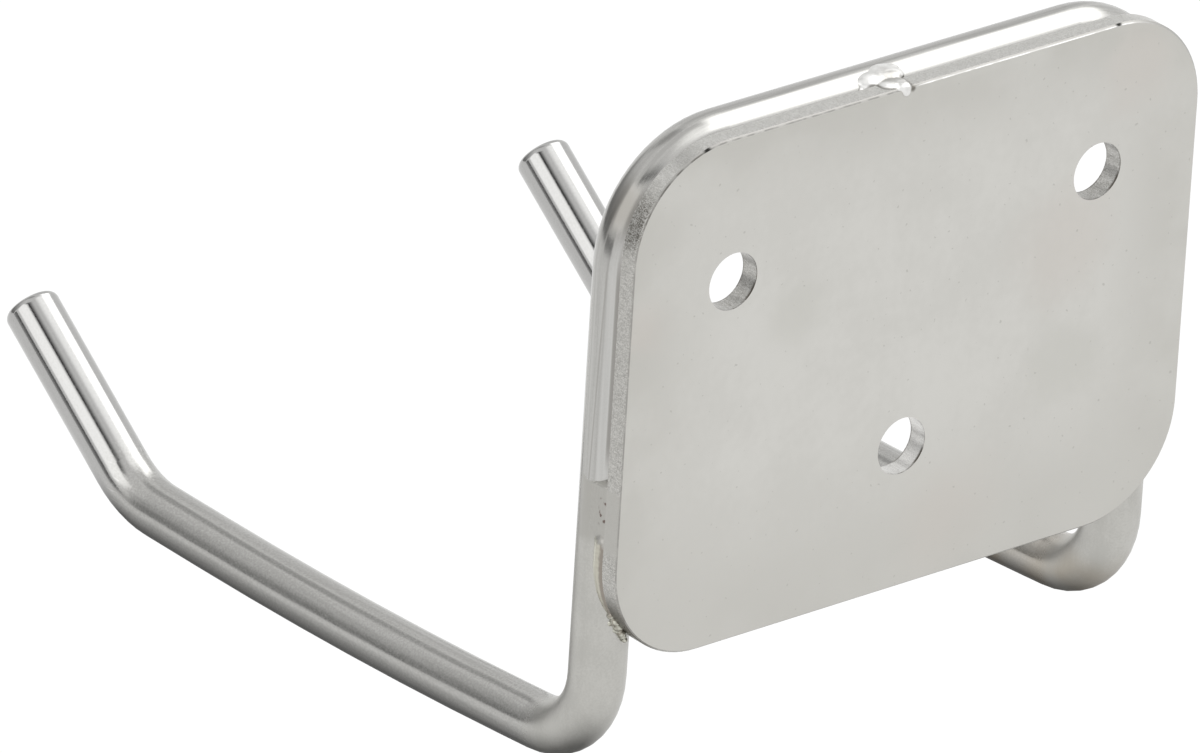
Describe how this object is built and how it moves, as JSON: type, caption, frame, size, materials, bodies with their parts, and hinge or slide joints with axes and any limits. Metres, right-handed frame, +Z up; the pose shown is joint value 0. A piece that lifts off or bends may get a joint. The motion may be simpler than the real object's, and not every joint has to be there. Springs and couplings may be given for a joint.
{
  "type": "immersion blender wall hanger",
  "caption": "Wall hanger with a rounded steel plate for screws and a welded bent round bar whose arms reach forward with raised tips to hold a hand blender by its neck.",
  "frame": {"origin": "centre of the back plate's wall face", "axes": "+Y out of the wall face into the wall, -Y forward along the arms, +Z up, +X towards the left arm as seen from the wall"},
  "size_m": [0.1, 0.1339, 0.0991],
  "materials": {
    "plate_steel": "dull rolled stainless sheet",
    "rod_steel": "drawn bar, satin arms and polished tips",
    "weld_steel": "smooth weld bead with a light heat tint"
  },
  "bodies": {
    "root": {"back_plate": "plate_steel", "hook_rod": "rod_steel", "top_weld": "weld_steel", "left_weld": "weld_steel", "right_weld": "weld_steel"}
  },
  "joints": []
}
